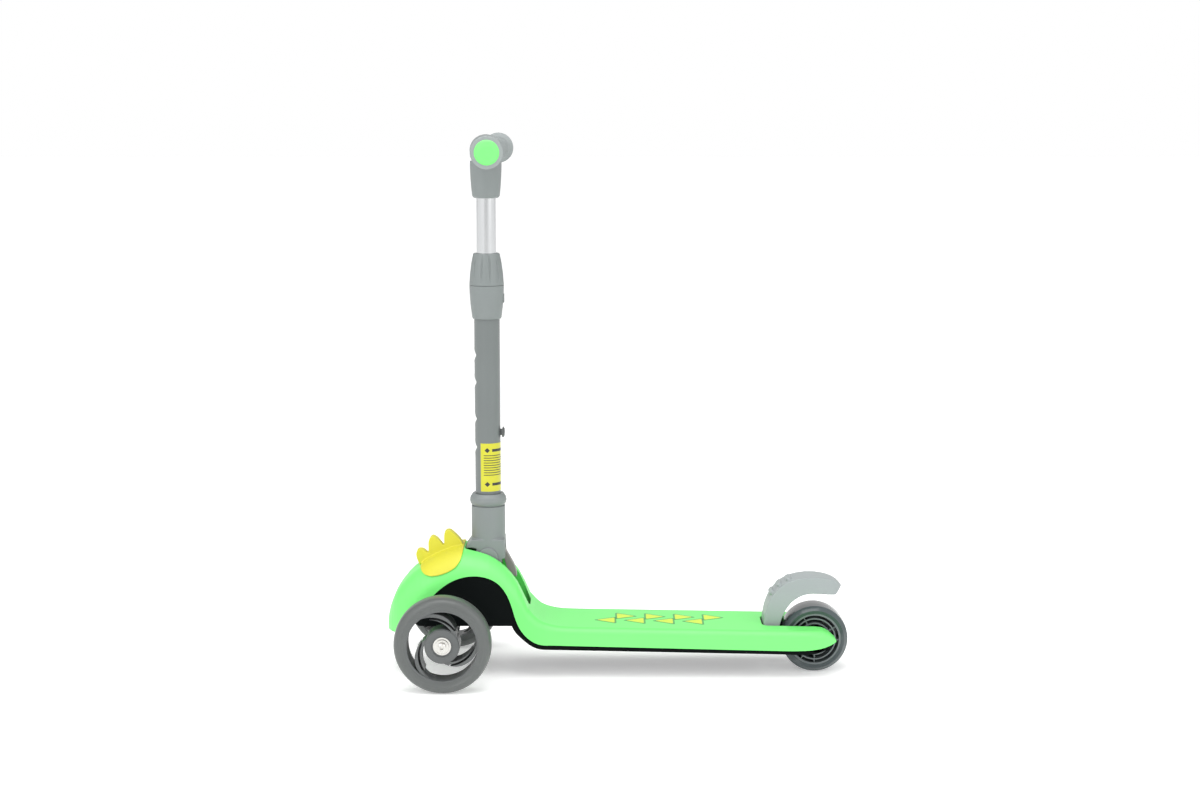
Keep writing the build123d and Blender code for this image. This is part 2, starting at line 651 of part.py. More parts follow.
# ---- stem: socket, tube and clamp ------------------------------------------------
stem = Plane((STEM_X, 0, 0))
TONGUE_HALF = PLATE_IN - 0.4
CHEEK_IN = PLATE_IN + PLATE_T + AIR
SKIRT_HALF = 21.0
TUBE_SEAT_Z = 169.0
LOWER_BORE = LOWER_R - LOWER_TUBE_WALL
LEVER_X = STEM_X - 14.5
LEVER_Z = 159.0
LEVER_PIN_R = 2.0
LEVER_HALF = 6.0
lever_axis = across(LEVER_X, LEVER_Z)

with BuildPart() as catch_room:
    # the arc that the catch bar follows past the tongue as the column folds
    add(rod(across(STEM_X, PIVOT_Z), -TONGUE_HALF - AIR, TONGUE_HALF + AIR, PLATE_R + 4, CATCH_ARC - CATCH_R - AIR))
    with Locations((STEM_X + 4, 0, PIVOT_Z + 8)):
        Box(60, 60, 60, align=(Align.MAX, Align.CENTER, Align.MAX), mode=Mode.INTERSECT)

with BuildPart() as stem_socket:
    add(rod(stem, 163, SOCKET_TOP, COLUMN_R))
    # skirt that follows the hood
    with BuildSketch(Plane.XZ):
        with BuildLine():
            rim = Spline((STEM_X - 22, PIVOT_Z + 1), (STEM_X - 9.3, PIVOT_Z - 0.5), (STEM_X + 3.5,
                                                                                     PIVOT_Z + 6.3),
                         (STEM_X + 27.7, PIVOT_Z + 12.8))
            Polyline(rim @ 1, (STEM_X + 27.7, PIVOT_Z + 15), (STEM_X + 21, PIVOT_Z + 24), (STEM_X - 21,
                                                                                           PIVOT_Z + 24),
                     rim @ 0)
        make_face()
        with Locations((STEM_X, PIVOT_Z)):
            Circle(17.8)
    extrude(amount=SKIRT_HALF, both=True)
    fillet(stem_socket.edges().filter_by(Axis.Z).filter_by(lambda e: e.center().X > STEM_X + 26), 5)
    # clearance for the bracket's plates, the tongue stays between them
    for side in (1, -1):
        low, high = sorted((side * TONGUE_HALF, side * CHEEK_IN))
        add(rod(across(STEM_X, PIVOT_Z), low, high, PLATE_R + AIR), mode=Mode.SUBTRACT)
        with Locations((STEM_X, side * (TONGUE_HALF + CHEEK_IN) / 2, PIVOT_Z - 15)):
            Box(80, CHEEK_IN - TONGUE_HALF, 30, mode=Mode.SUBTRACT)
        # the plates' lower parts pass here as the column folds
        with Locations((STEM_X - 30, side * (TONGUE_HALF + CHEEK_IN) / 2, PIVOT_Z + PLATE_R + 2 * AIR)):
            Box(60, CHEEK_IN - TONGUE_HALF, 60, align=(Align.CENTER, Align.CENTER, Align.MAX),
                mode=Mode.SUBTRACT)
    with Locations((STEM_X, 0, PIVOT_Z - 24)):
        Box(80, 2 * TONGUE_HALF + 0.2, 22, mode=Mode.SUBTRACT)
    for x in (STEM_X - 22, STEM_X + 22):
        with Locations((x, 0, PIVOT_Z - 8)):
            Box(20, 2 * TONGUE_HALF + 0.2, 22, mode=Mode.SUBTRACT)
    add(catch_room.part, mode=Mode.SUBTRACT)
    # room for the release lever and the pin it turns on
    with Locations((LEVER_X - 10, 0, LEVER_Z - 13)):
        Box(34, 2 * LEVER_HALF + 2 * AIR, 42, mode=Mode.SUBTRACT)
    add(rod(lever_axis, -TONGUE_HALF - 1, TONGUE_HALF + 1, LEVER_PIN_R + SEAT), mode=Mode.SUBTRACT)
    add(rod(across(STEM_X, PIVOT_Z), -19.2, 19.2, PIN_R + RUN), mode=Mode.SUBTRACT)
    # bore for the tube
    add(rod(stem, TUBE_SEAT_Z, SOCKET_TOP + 1, LOWER_R + SEAT), mode=Mode.SUBTRACT)
save(stem_socket.part, "stem_socket")

with BuildPart() as socket_ring:
    add(turned(stem, [(SOCKET_TOP + 0.02, LOWER_R + SEAT), (SOCKET_TOP + 15, LOWER_R + SEAT),
                      (SOCKET_TOP + 15.5, 19.5),
                      (SOCKET_TOP + 11, 22.4), (SOCKET_TOP + 7, 23.2), (SOCKET_TOP + 3.5, 22.4),
                      (SOCKET_TOP + 0.02, 19.8)]))
save(socket_ring.part, "socket_ring")

BUTTON_PIN_R = 4.0
SLOT_HALF_W = BUTTON_PIN_R + 0.4
button = Plane((STEM_X, 0, BUTTON_Z), x_dir=(0, 1, 0), z_dir=(-1, 0, 0))
with BuildPart() as lower_tube:
    add(rod(stem, TUBE_SEAT_Z + 0.02, LOWER_TOP, LOWER_R, LOWER_BORE))
    add(rod(button, 10, 20, BUTTON_PIN_R + RUN), mode=Mode.SUBTRACT)
save(lower_tube.part, "lower_tube")

SLEEVE_TOP = COLLAR_SPLIT + 24
with BuildPart() as lower_collar:
    add(turned(stem, [(COLLAR_BOTTOM, LOWER_R + SEAT), (LOWER_TOP + 0.05, LOWER_R + SEAT),
                      (LOWER_TOP + 0.05, LOWER_BORE),
                      (COLLAR_SPLIT + 20, LOWER_BORE), (COLLAR_SPLIT + 20, 17), (COLLAR_SPLIT, 17),
                      (COLLAR_SPLIT, COLLAR_R),
                      (COLLAR_SPLIT - 8, COLLAR_R - 0.1), (COLLAR_SPLIT - 24, COLLAR_R - 1.2),
                      (COLLAR_BOTTOM + 2, 18.4),
                      (COLLAR_BOTTOM, 17.6)]))
    with Locations((STEM_X - COLLAR_R + 1.2, 0, COLLAR_SPLIT - 16)):
        Box(3, 9, 11)
    add(rod(stem, COLLAR_BOTTOM - 1, LOWER_TOP + 0.05, LOWER_R + SEAT), mode=Mode.SUBTRACT)
save(lower_collar.part, "lower_collar")

with BuildPart() as clamp_sleeve:
    add(turned(stem, [(COLLAR_BOTTOM, UPPER_R + RUN), (SLEEVE_TOP, UPPER_R + RUN), (SLEEVE_TOP,
                                                                                    LOWER_BORE - 1.3),
                      (SLEEVE_TOP - 4, LOWER_BORE - SEAT), (COLLAR_BOTTOM, LOWER_BORE - SEAT)]))
    with Locations((STEM_X, 0, SLEEVE_TOP)):
        Box(40, 1.5, 30, mode=Mode.SUBTRACT)
        Box(1.5, 40, 30, mode=Mode.SUBTRACT)
save(clamp_sleeve.part, "clamp_sleeve")

PETALS = 12
with BuildPart() as clamp_nut:
    add(turned(stem, [(COLLAR_SPLIT + 0.5, 17.4), (COLLAR_SPLIT + 21, 17.4), (COLLAR_SPLIT + 25.5,
                                                                              UPPER_R + 0.6),
                      (COLLAR_TOP, UPPER_R + 0.6), (COLLAR_TOP, 15.6), (COLLAR_TOP - 1.2, 16.6),
                      (COLLAR_TOP - 12, 18.8),
                      (COLLAR_SPLIT + 14, 20.6), (COLLAR_SPLIT + 2, COLLAR_R), (COLLAR_SPLIT + 0.5,
                                                                                COLLAR_R)]))
    for k in range(PETALS):
        a = math.radians(360 / PETALS * (k + 0.5))
        low = Vector(STEM_X + (COLLAR_R + 0.9) * math.cos(a), (COLLAR_R + 0.9) * math.sin(a),
                     COLLAR_SPLIT + 4)
        high = Vector(STEM_X + 17.2 * math.cos(a), 17.2 * math.sin(a), COLLAR_TOP + 2)
        add(rod(Plane(low, z_dir=high - low), 0, (high - low).length, 1.3), mode=Mode.SUBTRACT)
save(clamp_nut.part, "clamp_nut")

# ---- release lever -----------------------------------------------------------------
with BuildPart() as fold_lever:
    with BuildSketch(Plane.XZ):
        with BuildLine():
            rear_edge = Spline((LEVER_X - 4, LEVER_Z + 3), (LEVER_X - 9.5, LEVER_Z - 8), (LEVER_X - 15,
                                                                                          LEVER_Z - 18),
                               (LEVER_X - 19.5, LEVER_Z - 28), (LEVER_X - 21, LEVER_Z - 39))
            front_edge = Spline((LEVER_X - 15, LEVER_Z - 36), (LEVER_X - 9, LEVER_Z - 27), (LEVER_X - 5.5,
                                                                                            LEVER_Z - 16),
                                (LEVER_X + 3, LEVER_Z - 3))
            Line(rear_edge @ 1, front_edge @ 0)
            Line(front_edge @ 1, rear_edge @ 0)
        make_face()
        with Locations((LEVER_X, LEVER_Z)):
            Circle(4.5)
    extrude(amount=LEVER_HALF, both=True)
    with Locations((LEVER_X, 0, LEVER_Z)):
        Box(13, 8.4, 13, mode=Mode.SUBTRACT)
    add(rod(lever_axis, -20, 20, LEVER_PIN_R + RUN), mode=Mode.SUBTRACT)
save(fold_lever.part, "fold_lever")
with BuildPart() as lever_pin:
    add(rod(lever_axis, 0.1 - TONGUE_HALF, TONGUE_HALF - 0.1, LEVER_PIN_R))
save(lever_pin.part, "lever_pin")
with BuildPart() as lever_spring:
    add(coil(lever_axis, 3.1, 0.6, 5))
save(lever_spring.part, "lever_spring")

# ---- handlebar ---------------------------------------------------------------------
HEAD_BOTTOM = 598.0
UPPER_LOW = TUBE_SEAT_Z + 6
SLOT_TOP = BUTTON_Z + 6
with BuildPart() as upper_tube:
    add(rod(stem, UPPER_LOW, BAR_Z - BAR_R - 1, UPPER_R, UPPER_R - UPPER_TUBE_WALL))
    slot_low = BUTTON_Z - HEIGHT_TRAVEL - 6
    with Locations((STEM_X - UPPER_R, 0, (slot_low + SLOT_TOP) / 2)):
        Box(8, 2 * SLOT_HALF_W, SLOT_TOP - slot_low, mode=Mode.SUBTRACT)
save(upper_tube.part, "upper_tube")

with BuildPart() as tube_foot:
    add(rod(stem, UPPER_LOW - 3, UPPER_LOW - 0.02, LOWER_BORE - 0.1, 6))
    add(rod(stem, UPPER_LOW - 0.02, UPPER_LOW + 3.5, UPPER_R - UPPER_TUBE_WALL - SEAT, 6))
save(tube_foot.part, "tube_foot")


def bar_plane(side):
    """Plane on the crossbar's axis, facing outwards; the halves sweep back."""
    back = math.radians(SWEEP_BACK)
    out = (-math.sin(back), side * math.cos(back), 0)
    return Plane((STEM_X, 0, BAR_Z), x_dir=(0, 0, 1), z_dir=out)


BAR_SPAN = GRIP_END / math.cos(math.radians(SWEEP_BACK))
HEAD_HALF = 27.0
BEND_R = 60.0


def bent_bar(radius, bore, span):
    """Round bar along both halves of the handlebar, with a bend between them."""
    ends = [Vector(*(bar_plane(side).origin + bar_plane(side).z_dir * span)) for side in (-1, 1)]
    with BuildPart() as bar:
        with BuildLine() as path:
            FilletPolyline(ends[0], (STEM_X, 0, BAR_Z), ends[1], radius=BEND_R)
        with BuildSketch(Plane(ends[0], x_dir=(0, 0, 1), z_dir=path.line % 0)):
            Circle(radius)
            if bore:
                Circle(bore, mode=Mode.SUBTRACT)
        sweep(path=path.line)
    return bar.part


with BuildPart() as t_head:
    for height, radius_x, radius_y in ((0, 16.8, 16.8), (20, 18.8, 19), (46, 19.6, 21)):
        with BuildSketch(Plane.XY.offset(HEAD_BOTTOM + height)):
            with Locations((STEM_X, 0)):
                Ellipse(radius_x, radius_y)
    loft()
    fillet(t_head.edges().group_by(Axis.Z)[0], 4)
    add(turned(across(STEM_X, BAR_Z), [(-HEAD_HALF, 0), (HEAD_HALF, 0), (HEAD_HALF, 14.5), (HEAD_HALF - 4,
                                                                                            17.5), (9,
                                                                                                    19.3),
                                       (-9, 19.3), (4 - HEAD_HALF, 17.5), (-HEAD_HALF, 14.5)]))
    add(bent_bar(BAR_R + SEAT, 0, 60), mode=Mode.SUBTRACT)
    add(rod(stem, HEAD_BOTTOM - 1, BAR_Z - BAR_R - 0.9, UPPER_R + SEAT), mode=Mode.SUBTRACT)
save(t_head.part, "t_head")

save(bent_bar(BAR_R, BAR_R - 1.5, BAR_SPAN - 2), "crossbar")

GRIP_R = 14.0
for side, word in ((1, "left"), (-1, "right")):
    bar = bar_plane(side)
    with BuildPart() as grip:
        outline = [(HEAD_HALF + 1, BAR_R + SEAT), (BAR_SPAN - 1.5, BAR_R + SEAT), (BAR_SPAN, 14.2),
                   (BAR_SPAN, FLANGE_R - 1),
                   (BAR_SPAN - 1, FLANGE_R), (BAR_SPAN - 3.5, FLANGE_R), (BAR_SPAN - 6, 15.5)]
        ribs = 9
        start = BAR_SPAN - 9
        step = (start - HEAD_HALF - 12) / ribs
        for k in range(ribs):
            outline += [(start - k * step, GRIP_R), (start - k * step - step * 0.65, GRIP_R + 0.8),
                        (start - (k + 1) * step + 0.2, GRIP_R + 0.8)]
        outline += [(HEAD_HALF + 6, 15.2), (HEAD_HALF + 4.5, 17), (HEAD_HALF + 1.5, 17), (HEAD_HALF + 1,
                                                                                          16.4)]
        add(turned(bar, outline))
    save(grip.part, f"grip_{word}")
    with BuildPart() as cap:
        add(turned(bar, [(BAR_SPAN - 16, 0), (BAR_SPAN + 3, 0), (BAR_SPAN + 2.7, 8), (BAR_SPAN + 1.6, 13),
                         (BAR_SPAN + 0.1, 14.8),
                         (BAR_SPAN + 0.05, BAR_R - 1.5 - SEAT), (BAR_SPAN - 16, BAR_R - 2.2)]))
    save(cap.part, f"end_cap_{word}")

# ---- height button -------------------------------------------------------------------
BUTTON_TRAVEL = 2.5
BUTTON_GAP = LOWER_R + BUTTON_TRAVEL + AIR  # hollow side of the button's head from the tube's centre
BUTTON_IN = 9.5  # inner end of the button's pin
CUP_R = 3.1
CUP_FLOOR = 15.5
with BuildPart() as height_button:
    add(turned(button, [(BUTTON_IN, 0), (BUTTON_GAP + 2.6, 0), (BUTTON_GAP + 2.2, 4.5), (BUTTON_GAP + 0.6,
                                                                                         7), (LOWER_R - 1,
                                                                                              7.5),
                        (LOWER_R - 1, BUTTON_PIN_R), (BUTTON_IN, BUTTON_PIN_R)]))
    add(rod(stem, 0, 500, BUTTON_GAP), mode=Mode.SUBTRACT)
    add(rod(button, BUTTON_IN, LOWER_R + 4, BUTTON_PIN_R))
    add(rod(button, BUTTON_IN - 1, CUP_FLOOR, CUP_R), mode=Mode.SUBTRACT)
save(height_button.part, "height_button")

with BuildPart() as button_spring:
    # stands on the far wall of the inner tube and reaches into the pin's cup
    spring_end = CUP_FLOOR - BUTTON_TRAVEL - AIR
    spring_foot = UPPER_R - UPPER_TUBE_WALL - AIR
    middle = Plane((STEM_X + (spring_foot - spring_end) / 2, 0, BUTTON_Z), x_dir=(0, 1, 0), z_dir=(-1, 0,
                                                                                                   0))
    add(coil(middle, CUP_R - 0.6, 0.4, 8, spring_foot + spring_end - 0.8))
save(button_spring.part, "button_spring")
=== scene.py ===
# A child's folding three-wheeled scooter that steers by leaning.
import math
import bpy
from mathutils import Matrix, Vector


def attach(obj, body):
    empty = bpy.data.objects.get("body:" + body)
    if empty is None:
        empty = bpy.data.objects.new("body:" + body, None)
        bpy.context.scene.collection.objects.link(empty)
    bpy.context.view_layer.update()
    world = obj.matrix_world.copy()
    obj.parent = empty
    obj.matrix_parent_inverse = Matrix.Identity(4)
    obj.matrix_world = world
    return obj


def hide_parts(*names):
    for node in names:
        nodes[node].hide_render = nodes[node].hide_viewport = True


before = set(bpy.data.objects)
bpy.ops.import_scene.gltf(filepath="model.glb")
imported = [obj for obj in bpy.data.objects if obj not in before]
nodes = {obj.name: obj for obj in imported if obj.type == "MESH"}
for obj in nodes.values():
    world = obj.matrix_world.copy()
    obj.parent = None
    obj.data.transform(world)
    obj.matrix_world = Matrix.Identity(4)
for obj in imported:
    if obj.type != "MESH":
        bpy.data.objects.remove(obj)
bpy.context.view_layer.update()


# ---- footboard shell -------------------------------------------------------
# The long green shell with its hooded nose: one polypropylene moulding, lightly
# spark-textured by its mould, with soft scuffs on the tread.
def finish_material(name, colour, roughness, grain, depth, metallic=0.0, coat=0.0, shade=0.06, wear=0.04,
                    shine=0.5):
    """A finish with its own grain, faint mottling and roughness that varies, on object coordinates."""
    mat = bpy.data.materials.new(name)
    mat.use_nodes = True
    tree = mat.node_tree
    shader = tree.nodes["Principled BSDF"]
    shader.inputs["Metallic"].default_value = metallic
    shader.inputs["Coat Weight"].default_value = coat
    shader.inputs["Specular IOR Level"].default_value = shine
    place = tree.nodes.new("ShaderNodeTexCoord")
    mottle = tree.nodes.new("ShaderNodeTexNoise")
    mottle.inputs["Scale"].default_value = 14
    mottle.inputs["Detail"].default_value = 5
    tree.links.new(place.outputs["Object"], mottle.inputs["Vector"])
    tone = tree.nodes.new("ShaderNodeValToRGB")
    tone.color_ramp.elements[0].position = 0.3
    tone.color_ramp.elements[1].position = 0.72
    tone.color_ramp.elements[0].color = (*[c * (1 - shade) for c in colour], 1)
    tone.color_ramp.elements[1].color = (*[min(1, c * (1 + shade * 0.5)) for c in colour], 1)
    tree.links.new(mottle.outputs["Fac"], tone.inputs["Fac"])
    tree.links.new(tone.outputs["Color"], shader.inputs["Base Color"])
    texture = tree.nodes.new("ShaderNodeTexNoise")
    texture.inputs["Scale"].default_value = grain
    texture.inputs["Detail"].default_value = 3
    tree.links.new(place.outputs["Object"], texture.inputs["Vector"])
    gloss = tree.nodes.new("ShaderNodeMapRange")
    gloss.inputs["To Min"].default_value = roughness - wear
    gloss.inputs["To Max"].default_value = roughness + wear
    tree.links.new(mottle.outputs["Fac"], gloss.inputs["Value"])
    tree.links.new(gloss.outputs["Result"], shader.inputs["Roughness"])
    bump = tree.nodes.new("ShaderNodeBump")
    bump.inputs["Strength"].default_value = 0.35
    bump.inputs["Distance"].default_value = depth
    tree.links.new(texture.outputs["Fac"], bump.inputs["Height"])
    tree.links.new(bump.outputs["Normal"], shader.inputs["Normal"])
    return mat


def coat_nodes(mat, *names):
    """Give CAD nodes this finish."""
    for name in names:
        mesh = nodes[name].data
        mesh.materials.clear()
        mesh.materials.append(mat)


shell_green = finish_material("shell_green", (0.17, 0.80, 0.175), 0.42, 2600, 0.00006, shade=0.03)
coat_nodes(shell_green, "deck_shell", "end_cap_left", "end_cap_right")

# ---- base, crest and metalwork of the deck -----------------------------------
# Under the shell sits a matt black nylon tray with the arch housing and rear fork, on the nose a soft
# yellow crest, and between them the zinc-plated bracket, bolts, pins, axles, bearings and springs.
base_black = finish_material("base_black", (0.003, 0.0045, 0.0045), 0.62, 1800, 0.0001, shade=0.2,
                             shine=0.06)
coat_nodes(base_black, "deck_base")
crest_yellow = finish_material("crest_yellow", (0.62, 0.585, 0.035), 0.5, 2200, 0.00006, shade=0.03)
zinc_steel = finish_material("zinc_steel", (0.62, 0.61, 0.58), 0.3, 900, 0.00003, metallic=1.0, wear=0.1)
coat_nodes(zinc_steel, "fold_bracket", "bracket_bolts", "catch_bar", "fold_pin", "steering_bolt",
           "steering_nut",
           "rear_axle", "rear_axle_nut", "axle_sleeves", "brake_pin", "brake_spring", "lever_pin",
           "lever_spring",
           "button_spring", "front_axle_bolt_left", "front_axle_bolt_right", "front_spacer_left",
           "front_spacer_right", "rear_spacer", "front_bearings_left", "front_bearings_right",
           "rear_bearings")
bush_rubber = finish_material("bush_rubber", (0.02, 0.02, 0.02), 0.7, 1200, 0.0001)
coat_nodes(bush_rubber, "steering_bushing")

# ---- steering beam -------------------------------------------------------------
# A dark glass-filled nylon beam carries the front axles. The clamp's split sleeve, the inner tube's
# foot and the height button are moulded in the same dark plastic.
dark_plastic = finish_material("dark_plastic", (0.075, 0.082, 0.082), 0.5, 1600, 0.00008, shade=0.12)
coat_nodes(dark_plastic, "steering_beam", "clamp_sleeve", "tube_foot", "height_button")

# ---- wheels ----------------------------------------------------------------------
# Cast polyurethane tyres on moulded rims: mid-grey and satin at the front, darker and glossier at the
# rear, where the ringed rim shows lighter through it.
tyre_grey = finish_material("tyre_grey", (0.105, 0.113, 0.110), 0.38, 700, 0.00005, coat=0.1, shade=0.05,
                            shine=0.35)
coat_nodes(tyre_grey, "front_tyre_left", "front_tyre_right")
rim_grey = finish_material("rim_grey", (0.095, 0.102, 0.102), 0.4, 1500, 0.00006, shade=0.08)
coat_nodes(rim_grey, "front_rim_left", "front_rim_right")
tyre_rear = finish_material("tyre_rear", (0.062, 0.08, 0.083), 0.2, 500, 0.00003, coat=0.25, shade=0.08,
                            shine=0.3)
coat_nodes(tyre_rear, "rear_tyre")
rim_rear = finish_material("rim_rear", (0.14, 0.165, 0.168), 0.35, 1200, 0.00005, shade=0.08)
coat_nodes(rim_rear, "rear_rim")

# ---- grey mouldings: brake, socket, collar, T-head -----------------------------------
# One light grey polypropylene makes the column's mouldings. The release lever has a warmer tone.
moulded_grey = finish_material("moulded_grey", (0.195, 0.217, 0.215), 0.44, 2200, 0.00007, shade=0.05)
coat_nodes(moulded_grey, "socket_ring", "lower_collar", "clamp_nut")
lever_grey = finish_material("lever_grey", (0.24, 0.225, 0.215), 0.46, 2000, 0.00007, shade=0.06)

# ---- tubes -------------------------------------------------------------------------
# The lower tube is painted grey steel and the upper tube bright drawn aluminium. The grips are soft
# matt rubber.
paint_grey = finish_material("paint_grey", (0.145, 0.162, 0.160), 0.36, 3500, 0.00003, coat=0.1, shade=0.03)
coat_nodes(paint_grey, "lower_tube")
bright_tube = finish_material("bright_tube", (0.66, 0.67, 0.68), 0.2, 1800, 0.00001, metallic=1.0,
                              shade=0.02, wear=0.05)
coat_nodes(bright_tube, "upper_tube", "crossbar")
grip_rubber = finish_material("grip_rubber", (0.27, 0.295, 0.295), 0.62, 1500, 0.0001, shade=0.06)
coat_nodes(grip_rubber, "grip_left", "grip_right")

# ---- softened mouldings ----------------------------------------------------------------
# The crest, brake fender, socket, T-head and lever come out of their moulds with rounded edges and no
# sharp corner, so each is remade from its solid with its edges eased. The fender is a lighter grey.
def eased(node, name, voxel, passes, mat, body):
    """A copy of a node with every edge rounded as a moulding's is."""
    bpy.ops.object.select_all(action="DESELECT")
    piece = nodes[node].copy()
    piece.data = nodes[node].data.copy()
    piece.name = name
    piece.parent = None
    piece.matrix_world = nodes[node].matrix_world.copy()
    bpy.context.collection.objects.link(piece)
    bpy.context.view_layer.objects.active = piece
    piece.select_set(True)
    bpy.ops.object.mode_set(mode="EDIT")
    bpy.ops.mesh.select_all(action="SELECT")
    bpy.ops.mesh.remove_doubles(threshold=0.00001)
    bpy.ops.object.mode_set(mode="OBJECT")
    bpy.ops.object.transform_apply(location=True, rotation=True, scale=True)
    shaper = piece.modifiers.new("voxels", "REMESH")
    shaper.mode = "VOXEL"
    shaper.voxel_size = voxel
    shaper.use_smooth_shade = True
    bpy.ops.object.modifier_apply(modifier="voxels")
    soften = piece.modifiers.new("soften", "SMOOTH")
    soften.factor = 0.5
    soften.iterations = passes
    bpy.ops.object.modifier_apply(modifier="soften")
    piece.data.materials.clear()
    piece.data.materials.append(mat)
    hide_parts(node)
    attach(piece, body)
    return piece


eased("spike_crest", "soft_crest", 0.0007, 7, crest_yellow, "deck")
fender_grey = finish_material("fender_grey", (0.31, 0.345, 0.345), 0.42, 2200, 0.00007, shade=0.05)
eased("brake_fender", "moulded_fender", 0.0008, 6, fender_grey, "brake")
eased("t_head", "moulded_head", 0.0008, 6, moulded_grey, "handlebar")
eased("stem_socket", "moulded_socket", 0.0008, 4, moulded_grey, "stem")
eased("fold_lever", "moulded_lever", 0.0005, 4, lever_grey, "fold_lever")

# ---- channel walls --------------------------------------------------------------------------
# The hood's channel, where the column lies when folded, has a side wall on each side,
# moulded with the shell. A thin film on each wall is a darker green than the shell: painted shade for the
# channel's inside.
channel_painted_shade = finish_material("channel_painted_shade", (0.07, 0.60, 0.078), 0.55, 2400, 0.00006, shade=0.05)
CHANNEL_Y = 0.0252
CHANNEL_REAR = 0.1085
CHANNEL_LENGTH = 0.0705
CHANNEL_DEPTH = 0.030
SURFACE_Y = 0.0268  # the hood's surface is measured here, just outside the channel
WALL_T = 0.0011
for side, word in ((1, "left"), (-1, "right")):
    bpy.ops.object.select_all(action="DESELECT")
    bpy.ops.mesh.primitive_grid_add(x_subdivisions=60, y_subdivisions=6, size=1)
    wall = bpy.context.object
    wall.name = f"channel_shade_film_{word}"
    for vertex in wall.data.vertices:
        x = CHANNEL_REAR + (vertex.co.x + 0.5) * CHANNEL_LENGTH
        met, point, normal, face = nodes["deck_shell"].ray_cast(
            nodes["deck_shell"].matrix_world.inverted() @ Vector((x, side * SURFACE_Y, 0.3)), (0, 0, -1))
        top = (nodes["deck_shell"].matrix_world @ point).z - 0.0006
        vertex.co = (x, side * CHANNEL_Y, top - (0.5 - vertex.co.y) * CHANNEL_DEPTH)
    film = wall.modifiers.new("wall", "SOLIDIFY")
    film.thickness = WALL_T
    film.offset = 0
    bpy.ops.object.modifier_apply(modifier="wall")
    bpy.ops.object.mode_set(mode="EDIT")
    bpy.ops.mesh.select_all(action="SELECT")
    bpy.ops.mesh.normals_make_consistent(inside=False)
    bpy.ops.object.mode_set(mode="OBJECT")
    # The film's darker green is painted shade, not the plastic's own colour.
    wall.data.materials.append(channel_painted_shade)
    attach(wall, "deck")

# ---- hinge bosses ----------------------------------------------------------------------------
# A low round boss on each cheek of the socket covers the end of the fold hinge's pin.
BOSS_R = 0.0128
BOSS_T = 0.0024
BOSS_PLACE = (0.164, 0.0219, 0.1478)
for side, word in ((1, "left"), (-1, "right")):
    bpy.ops.object.select_all(action="DESELECT")
    bpy.ops.mesh.primitive_cylinder_add(vertices=72, radius=BOSS_R, depth=BOSS_T,
                                        location=(BOSS_PLACE[0], side * BOSS_PLACE[1], BOSS_PLACE[2]),
                                        rotation=(math.pi / 2, 0, 0))
    boss = bpy.context.object
    boss.name = f"hinge_boss_{word}"
    bpy.ops.object.transform_apply(location=True, rotation=True, scale=True)
    rounding = boss.modifiers.new("edge", "BEVEL")
    rounding.width = 0.001
    rounding.segments = 3
    bpy.ops.object.modifier_apply(modifier="edge")
    bpy.ops.object.shade_smooth_by_angle(angle=math.radians(35))
    boss.data.materials.append(moulded_grey)
    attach(boss, "stem")

# ---- prints and sticker on the lower tube -----------------------------------------------
# A yellow vinyl sticker with plain bars wraps the tube's side and back, and four white marks
# are printed down its front.
TUBE_X = 0.164
TUBE_R = 0.016
ON_TUBE = 0.00008  # a film on the tube itself
ON_STICKER = 0.00026  # ink on top of the sticker


def tube_patch(name, radius, thickness, low, high, start, stop, mat, taper=0.0):
    """A thin film round the tube from one angle to another, with an optional taper to its ends."""
    bpy.ops.object.select_all(action="DESELECT")
    bpy.ops.mesh.primitive_grid_add(x_subdivisions=40, y_subdivisions=10, size=1)
    patch = bpy.context.object
    patch.name = name
    for vertex in patch.data.vertices:
        across_film = vertex.co.x + 0.5
        up = vertex.co.y + 0.5
        narrow = 1 - taper * abs(2 * across_film - 1)
        angle = math.radians(start + (stop - start) * across_film)
        height = (low + high) / 2 + (up - 0.5) * (high - low) * narrow
        vertex.co = (TUBE_X + radius * math.cos(angle), radius * math.sin(angle), height)
    bpy.ops.object.mode_set(mode="EDIT")
    bpy.ops.mesh.select_all(action="SELECT")
    bpy.ops.mesh.normals_make_consistent(inside=False)
    bpy.ops.object.mode_set(mode="OBJECT")
    wall = patch.modifiers.new("film", "SOLIDIFY")
    wall.thickness = thickness
    wall.offset = 1
    bpy.ops.object.modifier_apply(modifier="film")
    bpy.ops.object.shade_smooth_by_angle(angle=math.radians(40))
    patch.data.materials.append(mat)
    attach(patch, "stem")
    return patch


sticker_yellow = finish_material("sticker_yellow", (0.55, 0.53, 0.012), 0.3, 3000, 0.00001, coat=0.3,
                                 shade=0.02)
sticker_ink = finish_material("sticker_ink", (0.03, 0.03, 0.025), 0.45, 3000, 0.00001, shade=0.1)
print_white = finish_material("print_white", (0.86, 0.87, 0.86), 0.4, 3000, 0.00001, shade=0.02)
tube_patch("tube_sticker", TUBE_R + ON_TUBE, 0.00016, 0.2315, 0.2925, 59, 214, sticker_yellow)
for row in range(9):
    tube_patch(f"sticker_bar_{row + 1}", TUBE_R + ON_STICKER, 0.00008, 0.252 + row * 0.0031,
               0.2529 + row * 0.0031,
               74, 196 - 16 * (row % 3), sticker_ink)
for count, (low, high) in enumerate(((0.2805, 0.2870), (0.2375, 0.2440))):
    tube_patch(f"sticker_mark_{count + 1}", TUBE_R + ON_STICKER, 0.00008, low, high, 78, 102, sticker_ink,
               taper=1.0)
    tube_patch(f"sticker_block_{count + 1}", TUBE_R + ON_STICKER, 0.00008, low + 0.0015, high - 0.0015, 112,
               190, sticker_ink)
for count, middle in enumerate((0.403, 0.369, 0.323, 0.287)):
    tube_patch(f"front_print_{count + 1}", TUBE_R + ON_TUBE, 0.0001, middle - 0.010, middle + 0.010, -34,
               34, print_white,
               taper=0.9)

